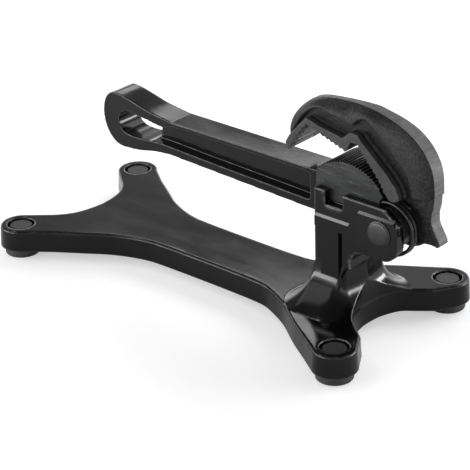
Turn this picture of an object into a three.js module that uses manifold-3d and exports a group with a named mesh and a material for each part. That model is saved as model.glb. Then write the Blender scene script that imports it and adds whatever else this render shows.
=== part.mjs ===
// Bench pipe vise: a self-gripping hook jaw, a fixed curved heel jaw, a handle and a four-footed base.
// Millimetres, +Z up, feet on z = 0, jaws' middle on y = 0, origin under the middle of the whole.
// Points below are drawn with x = 0 on the line through the two right-hand feet, and moved at the end.
import * as THREE from 'three';
import { mergeVertices } from 'three/addons/utils/BufferGeometryUtils.js';
import Module from 'manifold-3d';

const wasm = await Module();
wasm.setup();

// Driving dimensions
const MIDDLE_X = -137.8;
const GAP = 0.3;
const SINK = 0.2;
const FEET = { pitchX: 300, pitchY: 125.8 };
const PLATE = { bottom: 6, top: 23, legRadius: 15, barHalf: 24.5, wall: 6, roof: 8 };
const RIBS = { first: -268, step: 32, count: 7, half: 2 };
const FOOT = { radius: 13, chamfer: 1.2, boss: 4.6, bossTop: 10, hole: 3.3, holeFloor: 2.5 };
const PLUG = { head: 8.3, top: 22, seat: 18.3, stem: 3, recess: 10.2, bore: 5 };
const POST = { left: -50, half: 21.5, corner: 1.5, top: 108.5 };
const FLARE = { reach: 22, height: 34, rightHeight: 22, steps: 9 };
const SHANK = { right: -24.3, ridge: -21.8, corner: 6.5, top: 47 };
const NECK = { right: -20, ridge: -19.9, corner: 1.5, z: 62 };
const ARCH = { x: -9.5, z: 60.5, radius: 10.2, foot: 56 };
const FORK = { half: 15.75, floor: 60, right: -17.5, seat: 84.9 };
const PAD = { left: -48.4, proud: 2, ledgeLow: 91, ledgeHigh: 103 };
const PIN = {
  x: 6, z: 91, radius: 7, head: 9.2, headTop: 1.7, groove: 25.8, grooveEnd: 27.2, grooveDepth: 1, end: 29.2,
};
const BUSH = { outer: 9.6 };
const SLEEVE = { outer: 14 };
const PIN_WASHER = { outer: 10, thickness: 1.7 };
const JAW = { flange: 15, web: 6.5, body: 10, ear: 4, rim: 5, earRadius: 14.5 };
const HEEL = { half: 15.4, left: -53.6, right: 2.6, rightTop: 113.5, bottom: 104, skirt: 99.3, skirtInner: 11 };
const HEEL_ARC = { x: -26.5, z: 94, radius: 35.2, from: 138.5, to: 42.5, teeth: 24, depth: 1.4 };
const HANDLE = { half: 11, web: 3.4, top: 115.2, bottom: 85.2, shoulder: -54.5 };
const TANG = { top: 103.7, left: -49.5, right: -18, half: 15.4 };
const TENON = { left: -39, right: -29, half: 5, bottom: 91 };
const HEEL_PIN = { x: -34, z: 95.5, radius: 2.5 };
const BOLTS = [[-43, 91.3], [-25, 91.3]];
const BOLT = { radius: 4, end: 7, head: 6, headDepth: 6, socket: 3.2, socketDepth: 3.5, seat: 21.5 };
const BOLT_WASHER = { outer: 6.9, thickness: 1.4, room: 7.3 };
const SPRING = { radius: 18.8, wire: 2.2, pitch: 3.2, steps: 8, sides: 5 };
const SPRING_ENDS = { from: 170, to: 60, wholeTurns: 2, leg: 22, nearCheek: 13.7, bend: 2, inEar: 1.4 };

const CAST_PAINT = { color: 0x1b1c1e, roughness: 0.28, metalness: 0 };
const JAW_BLACK = { color: 0x26272a, roughness: 0.62, metalness: 0.35 };
const JAW_STEEL = { color: 0x47494c, roughness: 0.5, metalness: 0.75 };
const STEEL = { color: 0x55585c, roughness: 0.38, metalness: 0.9 };
const BLACK_STEEL = { color: 0x1a1a1b, roughness: 0.45, metalness: 0.6 };
const BRONZE = { color: 0x8a6a3c, roughness: 0.45, metalness: 0.85 };
const RUBBER = { color: 0x202122, roughness: 0.85, metalness: 0 };

const part = new THREE.Group();

// Solids

function toSolid(geometry) {
  const bare = geometry.clone();
  bare.deleteAttribute('normal');
  bare.deleteAttribute('uv');
  const merged = mergeVertices(bare, 1e-4);
  const index = new Uint32Array(merged.index.array);
  const vertProperties = new Float32Array(merged.attributes.position.array);
  const body = new wasm.Manifold(new wasm.Mesh({ numProp: 3, vertProperties, triVerts: index }));
  if (body.volume() > 0) return body;
  const turnedOver = index.map((_, i) => index[i % 3 === 0 ? i : 3 * Math.floor(i / 3) + 3 - (i % 3)]);
  return new wasm.Manifold(new wasm.Mesh({ numProp: 3, vertProperties, triVerts: turnedOver }));
}

function join(first, ...rest) {
  return rest.reduce((whole, piece) => whole.add(piece), first);
}

function cut(first, ...rest) {
  return rest.reduce((whole, piece) => whole.subtract(piece), first);
}

function addPart(name, body, finish) {
  const mesh = body.getMesh();
  const geometry = new THREE.BufferGeometry();
  geometry.setAttribute('position', new THREE.BufferAttribute(new Float32Array(mesh.vertProperties), 3));
  geometry.setIndex(new THREE.BufferAttribute(new Uint32Array(mesh.triVerts), 1));
  geometry.translate(-MIDDLE_X, 0, 0);
  geometry.computeVertexNormals();
  const item = new THREE.Mesh(geometry, new THREE.MeshStandardMaterial(finish));
  item.name = name;
  part.add(item);
}

function toShape(points) {
  return new THREE.Shape(points.map(([a, b]) => new THREE.Vector2(a, b)));
}

function curve(points) {
  return new THREE.CatmullRomCurve3(points.map(([a, b]) => new THREE.Vector3(a, b, 0)), false, 'centripetal');
}

// A smooth line through the points, as a list of steps + 1 points.
function smooth(points, steps) {
  return curve(points).getSpacedPoints(steps).map((p) => [p.x, p.y]);
}

function arc(cx, cy, radius, from, to, steps) {
  return Array.from({ length: steps + 1 }, (_, i) => {
    const angle = THREE.MathUtils.degToRad(from + ((to - from) * i) / steps);
    return [cx + radius * Math.cos(angle), cy + radius * Math.sin(angle)];
  });
}

function mirrored(points) {
  return points.slice().reverse().map(([x, y]) => [x, -y]);
}

// A profile drawn in x and z, reaching from y0 to y1.
function slab(points, y0, y1) {
  const geometry = new THREE.ExtrudeGeometry(toShape(points), { depth: y1 - y0, bevelEnabled: false });
  geometry.rotateX(Math.PI / 2);
  geometry.translate(0, y1, 0);
  return toSolid(geometry);
}

// The same profile on both sides of the middle, |y| from inner to outer.
function slabPair(points, inner, outer) {
  return [slab(points, -outer, -inner), slab(points, inner, outer)];
}

function rod(x, z, radius, y0, y1, sides = 32) {
  const geometry = new THREE.CylinderGeometry(radius, radius, y1 - y0, sides);
  geometry.translate(x, (y0 + y1) / 2, z);
  return toSolid(geometry);
}

function box(x0, x1, y0, y1, z0, z1) {
  const geometry = new THREE.BoxGeometry(x1 - x0, y1 - y0, z1 - z0);
  geometry.translate((x0 + x1) / 2, (y0 + y1) / 2, (z0 + z1) / 2);
  return toSolid(geometry);
}

// A piece turned about a line along y through (x, z); the profile is [radius, y].
function turned(profile, x, z, sides = 32) {
  const geometry = new THREE.LatheGeometry(profile.map(([r, y]) => new THREE.Vector2(r, y)), sides);
  geometry.translate(x, 0, z);
  return toSolid(geometry);
}

// A piece turned about a line along z through (x, y); the profile is [radius, z].
function turnedUp(profile, x, y, sides = 32) {
  const geometry = new THREE.LatheGeometry(profile.map(([r, z]) => new THREE.Vector2(r, z)), sides);
  geometry.rotateX(Math.PI / 2);
  geometry.translate(x, y, 0);
  return toSolid(geometry);
}

// Corners of a ring in its own plane, in order, for closing an end.
function flatten(ring) {
  const points = ring.map((p) => new THREE.Vector3(...p));
  const normal = new THREE.Vector3();
  points.forEach((p, i) => {
    const next = points[(i + 1) % points.length];
    normal.add(new THREE.Vector3().crossVectors(p.clone().sub(points[0]), next.clone().sub(points[0])));
  });
  const along = points[1].clone().sub(points[0]).normalize();
  const across = new THREE.Vector3().crossVectors(normal.normalize(), along);
  return points.map((p) => new THREE.Vector2(p.dot(along), p.dot(across)));
}

// A solid skinned over rings of equal length, with flat ends.
function skin(rings) {
  const count = rings[0].length;
  const last = (rings.length - 1) * count;
  const index = [];
  for (let start = 0; start < last; start += count) {
    for (let i = 0; i < count; i += 1) {
      const j = (i + 1) % count;
      const [a, b, c, d] = [start + i, start + j, start + count + j, start + count + i];
      index.push(a, b, c, a, c, d);
    }
  }
  const near = THREE.ShapeUtils.triangulateShape(flatten(rings[0]), []);
  const far = THREE.ShapeUtils.triangulateShape(flatten(rings[rings.length - 1]), []);
  near.forEach(([a, b, c]) => index.push(a, c, b));
  far.forEach(([a, b, c]) => index.push(last + a, last + b, last + c));
  const geometry = new THREE.BufferGeometry();
  geometry.setAttribute('position', new THREE.Float32BufferAttribute(rings.flat(2), 3));
  geometry.setIndex(index);
  return toSolid(geometry);
}

// Moves each point of a closed outline, drawn anticlockwise, outwards by the distance.
function grown(points, distance) {
  const count = points.length;
  return points.map(([x, y], i) => {
    const before = points[(i + count - 1) % count];
    const after = points[(i + 1) % count];
    const dx = after[0] - before[0];
    const dy = after[1] - before[1];
    const length = Math.hypot(dx, dy);
    return [x + (dy / length) * distance, y - (dx / length) * distance];
  });
}

function ringAt(points, z) {
  return points.map(([x, y]) => [x, y, z]);
}

// Teeth along a line: each rises over its length and drops back at its end by the depth.
function toothed(points, count, depth) {
  const path = curve(points);
  const list = [];
  for (let i = 0; i < count; i += 1) {
    const start = path.getPointAt(i / count);
    const tip = path.getPointAt((i + 0.72) / count);
    const along = path.getTangentAt((i + 0.72) / count);
    list.push([start.x, start.y], [tip.x - along.y * depth, tip.y + along.x * depth]);
  }
  const end = path.getPointAt(1);
  list.push([end.x, end.y]);
  return list;
}

// Base plate, post and fork, one casting

function plateFront() {
  const y = -FEET.pitchY / 2;
  const leftEnd = smooth([[-277, 0], [-278, -10], [-282, -24], [-290, -35], [-300, -43.5]], 8);
  const leftLeg = arc(-FEET.pitchX, y, PLATE.legRadius, 127, 324, 10);
  const flank = smooth([[-270.5, -59], [-250, -46], [-234, -36], [-216, -28.5], [-203, -25.4],
    [-190, -PLATE.barHalf], [-104, -PLATE.barHalf], [-91, -26], [-79.5, -30.5], [-63.6, -38.6],
    [-41, -54.5], [-22.7, -66]], 26);
  const rightLeg = arc(0, y, PLATE.legRadius, 240, 400, 9);
  return [...leftEnd, ...leftLeg, ...flank, ...rightLeg, ...rightEnd()];
}

// The concave right end, from the front leg to the middle.
function rightEnd() {
  return smooth([[4, -41], [-5, -34], [-13.4, -27.3], [-18, -18], [-20.4, -9], [-21, 0]], 8);
}

function plateOutline() {
  const front = plateFront();
  const back = mirrored(front).slice(1, -1);
  return [...front, ...back];
}

function basePlate() {
  const outline = plateOutline();
  const levels = [[PLATE.bottom, 0.2], [7.3, 1.2], [19.8, 0.4], [21.6, -0.3], [22.6, -1.3], [PLATE.top, -2.4]];
  return skin(levels.map(([z, out]) => ringAt(grown(outline, out), z)));
}

function eachFoot(make) {
  const places = [['left_front', -FEET.pitchX, -1], ['left_back', -FEET.pitchX, 1], ['right_front', 0, -1],
    ['right_back', 0, 1]];
  return places.map(([place, x, side]) => make(x, (side * FEET.pitchY) / 2, place));
}

// The hollow under the plate, left of the post, with bosses over the feet and ribs between its cells.
function underside() {
  const inner = grown(plateOutline(), -PLATE.wall);
  const hollow = skin([ringAt(inner, PLATE.bottom - 1), ringAt(inner, PLATE.top - PLATE.roof)]);
  const { legRadius, top } = PLATE;
  const bosses = eachFoot((x, y) => turnedUp([[0, 0], [legRadius, 0], [legRadius, top], [0, top]], x, y));
  const { first, step, count, half } = RIBS;
  const side = FEET.pitchY / 2;
  const across = Array.from({ length: count }, (_, i) => first + i * step)
    .map((x) => box(x - half, x + half, -side, side, 0, top));
  const along = box(-FEET.pitchX, POST.left + 1, -half, half, 0, top);
  const underPost = box(POST.left, legRadius, -side, side, 0, top);
  return cut(hollow, ...bosses, ...across, along, underPost);
}

// How far the post's foot stands out at a height, on a quarter ellipse that ends flat on the plate.
function flareAt(z, height) {
  const fall = THREE.MathUtils.clamp(1 - (z - PLATE.top) / height, 0, 1);
  return FLARE.reach * (1 - Math.sqrt(1 - fall * fall));
}

// Plan of the post at a height: small left corners, round right ones and a low ridge between those.
function postPlan(z) {
  const { lerp } = THREE.MathUtils;
  const share = THREE.MathUtils.clamp((z - SHANK.top) / (NECK.z - SHANK.top), 0, 1);
  const out = flareAt(z, FLARE.height);
  const outRight = flareAt(z, FLARE.rightHeight);
  const radius = lerp(SHANK.corner, NECK.corner, share) + out;
  const right = lerp(SHANK.right, NECK.right, share) + outRight - radius;
  const ridge = lerp(SHANK.ridge, NECK.ridge, share) + outRight;
  const left = POST.left + POST.corner;
  const leftSide = POST.half - POST.corner;
  const rightSide = POST.half + out - radius;
  return [
    ...arc(left, leftSide, POST.corner + out, 90, 180, 5),
    ...arc(left, -leftSide, POST.corner + out, 180, 270, 5),
    ...arc(right, -rightSide, radius, 270, 360, 6), [ridge, 0], ...arc(right, rightSide, radius, 0, 90, 6),
  ];
}

function flaredPost() {
  const low = PLATE.top - SINK;
  const levels = Array.from({ length: FLARE.steps + 1 }, (_, i) => {
    const angle = (Math.PI / 2) * (1 - i / FLARE.steps);
    return low + FLARE.height * (1 - Math.sin(angle));
  });
  return skin([...levels, NECK.z].map((z) => ringAt(postPlan(z), z)));
}

// Side view of the post's head and the cheeks.
function headProfile() {
  return [
    [POST.left, ARCH.foot], [ARCH.x - ARCH.radius, ARCH.foot], ...arc(ARCH.x, ARCH.z, ARCH.radius, 180, 90, 4),
    ...arc(8.6, 84.4, 12, 270, 360, 6), [20.6, 93], [19.4, 98.5], [17.4, 102], [12.8, 105], [9, POST.top],
    [-26, POST.top], [-26, 98.5], [-41, 98.5], [-41, POST.top], [POST.left, POST.top],
  ];
}

// Proud pads on each cheek: the lobe round the pin and the tall rib.
function padProfile() {
  return [
    [PAD.left, PAD.ledgeLow], [PAD.left, 82], [-43, 82], [-43, 35], [-28, 35], [-28, 82], [-18, 82],
    [-12, 72.5], ...arc(8.6, 84.4, 12, 270, 360, 6), [20.6, 93], [19.4, 98.5], [17.2, PAD.ledgeHigh],
    [-12, PAD.ledgeHigh], [-20, PAD.ledgeLow],
  ];
}

// What the concave right end takes away from the foot of the post.
function rightHollow() {
  const front = [[40, -60], [11, -50], ...rightEnd()];
  const plan = [...front, ...mirrored(front).slice(1)];
  return skin([ringAt(plan, -1), ringAt(plan, 46)]);
}

function baseCasting() {
  const { half } = POST;
  const head = slab(headProfile(), -half, half);
  const pads = slabPair(padProfile(), half - 1, half + PAD.proud);
  const post = join(flaredPost(), head, ...pads);
  const above = POST.top + 1;
  const slot = join(
    box(FORK.right, 2 * PIN.end, -FORK.half, FORK.half, FORK.floor, above),
    box(POST.left - 1, FORK.right + 1, -FORK.half, FORK.half, FORK.seat, above),
  );
  const pinHole = rod(PIN.x, PIN.z, PIN.radius + GAP, -40, 40);
  const boltHoles = BOLTS.map(([x, z]) => rod(x, z, BOLT.radius + GAP, 10, 40, 24));
  const spotFaces = BOLTS.map(([x, z]) => rod(x, z, BOLT_WASHER.room, BOLT.seat, 40, 28));
  const shaped = cut(post, rightHollow(), slot, pinHole, ...boltHoles, ...spotFaces);
  const floor = PLUG.seat - GAP;
  const footBores = eachFoot((x, y) => turnedUp([[0, 0], [PLUG.bore, 0], [PLUG.bore, floor],
    [PLUG.recess, floor], [PLUG.recess, PLATE.top + 1], [0, PLATE.top + 1]], x, y));
  return cut(join(basePlate(), shaped), underside(), ...footBores);
}

// Feet

function rubberFoot(x, y) {
  const { radius, chamfer, boss, bossTop, hole, holeFloor } = FOOT;
  const top = PLATE.bottom - GAP;
  return turnedUp([[0, 0], [radius - chamfer, 0], [radius, chamfer], [radius, top], [boss, top],
    [boss, bossTop], [hole, bossTop], [hole, holeFloor], [0, holeFloor]], x, y, 28);
}

function footPlug(x, y) {
  const { head, top, seat, stem } = PLUG;
  return turnedUp([[0, FOOT.holeFloor + GAP], [stem, FOOT.holeFloor + GAP], [stem, seat], [head, seat],
    [head, top - 0.6], [head - 0.6, top], [0, top]], x, y, 28);
}

// Handle

function handleOutline() {
  const eye = smooth([[-190, HANDLE.top], [-213.8, 118.5], [-229.5, 122.3], [-240.7, 124.5], [-247.5, 124.6],
    [-252.9, 121.3], [-256.3, 115], [-257.4, 107.5], [-256.4, 99.1], [-252.9, 91.8], [-247.3, 86.2],
    [-242.3, 84.2], [-232.3, 84.2], [-222.3, 85.2], [-207.3, 88.2], [-192.3, 89.7]], 28);
  return [...eye, [-58, HANDLE.bottom], [TANG.right, HANDLE.bottom], [TANG.right, TANG.top],
    [HANDLE.shoulder, TANG.top], [HANDLE.shoulder, HANDLE.top]];
}

function handleSlot() {
  const ring = smooth([[-206, 103.3], [-206.7, 99], [-210, 95.9], [-219, 94.9], [-232.3, 94.7], [-239.3, 97.2],
    [-242.3, 104.2], [-240, 110], [-234.3, 113.2], [-222, 111.9], [-210.5, 110.6], [-207, 108.2],
    [-206, 103.3]], 26);
  return ring.slice(0, -1);
}

// The sunk panel on each side of the bar, with a thin flange left above and a deeper one below.
function handlePanel() {
  return [[-210, 95.9], [-197.7, 96.2], [-163.6, 94.8], [-65, 91.6], ...arc(-65, 94.4, 2.8, 290, 360, 3),
    ...arc(-65, 109.4, 2.8, 0, 90, 3), [-188, 112.2], [-199.2, 109.2], [-210, 110.5]];
}

function handleBody() {
  const wide = slab(handleOutline(), -HANDLE.half, HANDLE.half);
  const panels = slabPair(handlePanel(), HANDLE.web, HANDLE.half + 1);
  const tang = box(TANG.left, TANG.right, -TANG.half, TANG.half, HANDLE.bottom, HEEL.skirt - GAP);
  const tenonSlot = box(TENON.left - GAP, TENON.right + GAP, -TENON.half - GAP, TENON.half + GAP,
    TENON.bottom - GAP, 110);
  const pinHole = rod(HEEL_PIN.x, HEEL_PIN.z, HEEL_PIN.radius + GAP, -20, 20, 24);
  const boltHoles = BOLTS.map(([x, z]) => rod(x, z, BOLT.radius + GAP, BOLT.end - GAP, 20, 24));
  return cut(join(wide, tang), ...panels, slab(handleSlot(), -20, 20), tenonSlot, pinHole, ...boltHoles);
}

// Heel jaw

function heelJaw() {
  const { x, z, radius, from, to, teeth, depth } = HEEL_ARC;
  const { left, right, rightTop, bottom } = HEEL;
  const inBody = bottom + 2;
  const face = toothed(arc(x, z, radius, from, to, 14), teeth, depth);
  const body = slab([[left, bottom], ...face, [right, rightTop], [right, bottom]], -HEEL.half, HEEL.half);
  const skirt = [[TANG.left, HEEL.skirt], [TANG.right, HEEL.skirt], [TANG.right, inBody], [TANG.left, inBody]];
  const tenon = box(TENON.left, TENON.right, -TENON.half, TENON.half, TENON.bottom, inBody);
  const springRoom = rod(PIN.x, PIN.z, SPRING.radius + SPRING.wire / 2 + 1, -20, 20, 48);
  const pinHole = rod(HEEL_PIN.x, HEEL_PIN.z, HEEL_PIN.radius + GAP, -20, 20, 24);
  return cut(join(body, tenon, ...slabPair(skirt, HEEL.skirtInner + GAP, HEEL.half)), springRoom, pinHole);
}

// Hook jaw

// Where the hook's flange meets the pipe: the tip, the top flat and the long flat, all toothed.
function hookFlange() {
  const tip = toothed([[-77.8, 126], [-71, 137], [-62.5, 148.5]], 6, -1.3);
  const top = toothed([[-53.5, 146.3], [-41, 142.4], [-28, 138]], 7, -1.3);
  const long = toothed([[-18.3, 145], [-12, 137.6], [-7, 132], [-2.5, 126.6], [1.2, 121.6], [4, 116.2]],
    10, -1.2);
  const lower = [...tip, ...top, [-24.3, 145], ...long, [6.6, 112.6], [11, 112], [15, 114]];
  const upper = [[15, 117], [12, 123], [5, 130.5], [-5, 139], [-14, 146.5], [-19, 152], [-25, 152],
    [-31, 146.5], [-40, 148.2], [-50, 149.8], [-61.7, 153.2], [-70, 144.5], [-76.6, 137], [-80, 131]];
  return slab([...lower, ...upper], -JAW.flange, JAW.flange);
}

function hookWeb() {
  return slab([[-77, 134], [-66, 147], [-60, 151], [-50, 148.5], [-40, 146.5], [-31, 144.5], [-24, 150],
    [-19, 149.5], [-12, 141.5], [-3, 133], [5, 126.5], [9, 120], [11, 113], [14, 112.5], [26, 117], [33, 119],
    [33, 126], [28, 139], [18, 150], [5, 157], [-15, 162], [-35, 163], [-50, 162], [-62, 158], [-70, 152],
    [-77, 142]], -JAW.web, JAW.web);
}

// Sections across the hook's body from tip to pivot: inner corner, outer crest and the crest's half width.
function hookSections() {
  const inner = [[-78.3, 134], [-77, 139], [-73.9, 144], [-69.9, 150], [-63.9, 156], [-57.9, 159.5],
    [-51.9, 160], [-45.6, 158], [-36.7, 156.3], [-27.9, 154], [-24.9, 157], [-20.9, 160], [-16.9, 161], [-13.3, 159.7],
    [-4.5, 152], [2, 145.8], [6.7, 141.3], [11.5, 137.2], [15.5, 133.6], [19.4, 125.8], [22, 115.5]];
  const crest = [[-80.5, 133.5, 8], [-81.6, 138.2, 7.5], [-80.6, 145.2, 6], [-76.6, 152, 5], [-71, 158, 4],
    [-64.8, 162.6, 3], [-58.2, 165, 2.8], [-48.5, 166.6, 2.5], [-40, 167.4, 2.5], [-33.5, 167.8, 2.7],
    [-27, 168, 2.9], [-22, 168, 3.2], [-16.5, 167.7, 3.5], [-11, 166.9, 3.9], [-2.5, 165, 4.6],
    [7.6, 162, 5.2], [17.8, 157.2, 5.6], [27.4, 149.2, 5.7], [33.6, 139.6, 5.7], [36, 131, 5.6],
    [36.8, 118.5, 5.4]];
  return inner.map((corner, i) => [corner, crest[i]]);
}

// One section: a rounded roof from the inner corner's full thickness to the narrow crest.
function hookSection([[x0, z0], [x1, z1, crestHalf]]) {
  const side = [[0, 1], [0.45, 0.9], [0.8, 0.62], [1, 0]].map(([share, height]) => [
    x0 + (x1 - x0) * share, crestHalf + (JAW.body - crestHalf) * height, z0 + (z1 - z0) * share]);
  return [...side, ...side.slice().reverse().map(([x, y, z]) => [x, -y, z])];
}

function hookEar() {
  const ear = slab([...arc(PIN.x, PIN.z, JAW.earRadius, 75, 300, 14), [20, 80.5], [28.5, 83.4], [35.6, 83.8],
    [38.7, 83.5], [40.3, 84.8], [40.2, 87.2], [37.4, 92.6], [34.5, 97.8], [33.6, 104], [34.6, 110],
    [34, 121], [12, 121], [11.5, 113]], -JAW.ear, JAW.ear);
  const rim = slab([[36, 121], [33.5, 121], [31.5, 116], [31.4, 109], [30.8, 103], [32, 96.5], [35.6, 88.6],
    [37, 84.6], [38.8, 83.7], [40.5, 85], [40.4, 87.2], [37.4, 92.6], [34.6, 97.8], [33.8, 104], [35.4, 111]],
  -JAW.rim, JAW.rim);
  return join(ear, rim);
}

function hookJaw() {
  const body = skin(hookSections().map(hookSection));
  const bore = rod(PIN.x, PIN.z, BUSH.outer + GAP, -20, 20);
  const springHole = rod(...springAnchor(), SPRING.wire / 2 + 0.4, -20, 20, 16);
  return cut(join(hookFlange(), hookWeb(), body, hookEar()), bore, springHole);
}

// Pin group

function pivotPin() {
  const face = -(POST.half + PAD.proud + GAP);
  const { radius, head, headTop, groove, grooveEnd, grooveDepth, end } = PIN;
  const chamfer = 0.8;
  return turned([[0, face - headTop], [head * 0.6, face - headTop * 0.86], [head * 0.9, face - headTop * 0.45],
    [head, face], [radius, face], [radius, groove], [radius - grooveDepth, groove],
    [radius - grooveDepth, grooveEnd], [radius, grooveEnd], [radius, end - chamfer], [radius - chamfer, end],
    [0, end]], PIN.x, PIN.z);
}

function ringPiece(inner, outer, y0, y1, x = PIN.x, z = PIN.z) {
  return turned([[inner, y0], [outer, y0], [outer, y1], [inner, y1], [inner, y0]], x, z);
}

// Open at its lower end, so it can be slid into the pin's groove.
function retainingRing() {
  const { radius, groove, grooveEnd, grooveDepth, x, z } = PIN;
  const ring = ringPiece(radius - grooveDepth + GAP, radius + 2.6, groove + GAP, grooveEnd - GAP);
  return cut(ring, box(x - 2, x + 2, groove - 1, grooveEnd + 1, z - 2 * radius, z));
}

// Springs: a coil on each side of the ear, one end bent into the ear, the long end down against the post.

function onCoil(degrees, y) {
  const angle = THREE.MathUtils.degToRad(degrees);
  return new THREE.Vector3(PIN.x + SPRING.radius * Math.cos(angle), y, PIN.z + SPRING.radius * Math.sin(angle));
}

function clockwise(degrees) {
  const angle = THREE.MathUtils.degToRad(degrees);
  return new THREE.Vector3(Math.sin(angle), 0, -Math.cos(angle));
}

// The x and z of the hole in the ear that takes the springs' bent ends.
function springAnchor() {
  const end = onCoil(SPRING_ENDS.to, 0).addScaledVector(clockwise(SPRING_ENDS.to), SPRING_ENDS.bend);
  return [end.x, end.z];
}

function springPath() {
  const { from, to, wholeTurns, leg, nearCheek, bend, inEar } = SPRING_ENDS;
  const sweep = 360 * wholeTurns + (from - to);
  const steps = Math.round((sweep / 360) * SPRING.steps);
  const yAt = (share) => -nearCheek + (share * sweep * SPRING.pitch) / 360;
  const points = [onCoil(from, yAt(0)).addScaledVector(clockwise(from), -leg)];
  for (let i = 0; i <= steps; i += 1) points.push(onCoil(from - (sweep * i) / steps, yAt(i / steps)));
  const [x, z] = springAnchor();
  const last = points[points.length - 1];
  points.push(new THREE.Vector3(THREE.MathUtils.lerp(last.x, x, 0.7), last.y + 0.3 * bend,
    THREE.MathUtils.lerp(last.z, z, 0.7)));
  points.push(new THREE.Vector3(x, last.y + bend, z), new THREE.Vector3(x, -inEar, z));
  return points;
}

function tube(points, radius, sides) {
  const across = new THREE.Vector3(0, 1, 0);
  const rings = points.map((p, i) => {
    const ahead = points[Math.min(i + 1, points.length - 1)];
    const behind = points[Math.max(i - 1, 0)];
    const along = ahead.clone().sub(behind).normalize();
    across.addScaledVector(along, -across.dot(along)).normalize();
    const third = new THREE.Vector3().crossVectors(along, across);
    return Array.from({ length: sides }, (_, k) => {
      const angle = (2 * Math.PI * k) / sides;
      return p.clone().addScaledVector(across, radius * Math.cos(angle))
        .addScaledVector(third, radius * Math.sin(angle)).toArray();
    });
  });
  return skin(rings);
}

// The least gap between turns that are at least half a turn apart, measured on the middle line.
function leastGap(points) {
  let least = Infinity;
  points.forEach((p, i) => points.slice(i + SPRING.steps / 2).forEach((q) => {
    least = Math.min(least, p.distanceTo(q) - SPRING.wire);
  }));
  return least;
}

function torsionSpring(side) {
  const points = springPath().map((p) => new THREE.Vector3(p.x, p.y * side, p.z));
  return tube(points, SPRING.wire / 2, SPRING.sides);
}

// Small pieces

function bolt([x, z]) {
  const { radius, end, head, headDepth, socket, socketDepth, seat } = BOLT;
  const under = seat + BOLT_WASHER.thickness + 2 * GAP;
  const outside = under + headDepth;
  const shape = turned([[0, end], [radius - 0.8, end], [radius, end + 0.8], [radius, under], [head, under],
    [head, outside - 0.6], [head - 0.6, outside], [0, outside]], x, z, 24);
  return cut(shape, rod(x, z, socket, outside - socketDepth, outside + 1, 6));
}

function boltWasher([x, z]) {
  const inside = BOLT.seat + GAP;
  return ringPiece(BOLT.radius + GAP, BOLT_WASHER.outer, inside, inside + BOLT_WASHER.thickness, x, z);
}

// The whole

const heelEnd = HEEL.half - GAP;
const cheek = POST.half + PAD.proud;
const onPin = PIN.radius + GAP;
addPart('base_casting', baseCasting(), CAST_PAINT);
addPart('handle', handleBody(), CAST_PAINT);
addPart('heel_jaw', heelJaw(), JAW_STEEL);
addPart('heel_jaw_pin', rod(HEEL_PIN.x, HEEL_PIN.z, HEEL_PIN.radius, -heelEnd, heelEnd, 20), STEEL);
addPart('hook_jaw', hookJaw(), JAW_BLACK);
addPart('pivot_pin', pivotPin(), STEEL);
addPart('pivot_bush', ringPiece(onPin, BUSH.outer, -JAW.ear, JAW.ear), BRONZE);
addPart('spring_sleeve_front', ringPiece(onPin, SLEEVE.outer, -FORK.half + GAP, -JAW.ear - GAP), STEEL);
addPart('spring_sleeve_back', ringPiece(onPin, SLEEVE.outer, JAW.ear + GAP, FORK.half - GAP), STEEL);
addPart('pin_washer', ringPiece(onPin, PIN_WASHER.outer, cheek + GAP, cheek + GAP + PIN_WASHER.thickness),
  STEEL);
addPart('pin_retaining_ring', retainingRing(), BLACK_STEEL);
addPart('torsion_spring_front', torsionSpring(1), BLACK_STEEL);
addPart('torsion_spring_back', torsionSpring(-1), BLACK_STEEL);
BOLTS.forEach((place, i) => {
  addPart(`handle_bolt_${i + 1}`, bolt(place), BLACK_STEEL);
  addPart(`handle_bolt_washer_${i + 1}`, boltWasher(place), STEEL);
});
eachFoot((x, y, place) => {
  addPart(`rubber_foot_${place}`, rubberFoot(x, y), RUBBER);
  addPart(`foot_plug_${place}`, footPlug(x, y), BLACK_STEEL);
});
console.log(`spring: least gap between turns ${leastGap(springPath()).toFixed(2)} mm`);

export default part;
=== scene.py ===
import math

import bmesh
import bpy
import numpy as np
from mathutils import Matrix, Vector


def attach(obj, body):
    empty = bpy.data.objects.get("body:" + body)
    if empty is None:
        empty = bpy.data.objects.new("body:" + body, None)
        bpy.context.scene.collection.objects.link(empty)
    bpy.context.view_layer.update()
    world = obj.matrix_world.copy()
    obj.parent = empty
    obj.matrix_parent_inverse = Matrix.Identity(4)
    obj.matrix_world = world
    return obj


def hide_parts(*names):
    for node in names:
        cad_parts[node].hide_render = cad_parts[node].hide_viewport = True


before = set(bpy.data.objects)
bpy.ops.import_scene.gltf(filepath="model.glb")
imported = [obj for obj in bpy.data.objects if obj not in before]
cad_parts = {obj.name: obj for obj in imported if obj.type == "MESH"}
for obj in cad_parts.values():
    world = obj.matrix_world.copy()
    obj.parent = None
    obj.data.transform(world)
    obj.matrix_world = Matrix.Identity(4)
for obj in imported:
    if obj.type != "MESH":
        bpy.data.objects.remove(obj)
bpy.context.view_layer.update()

MM = 0.001
MIDDLE_X = -137.8
GAP = 0.3
SINK = 0.2
THROUGH = 40
VISE = "vise"
HOOK = "hook"

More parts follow.
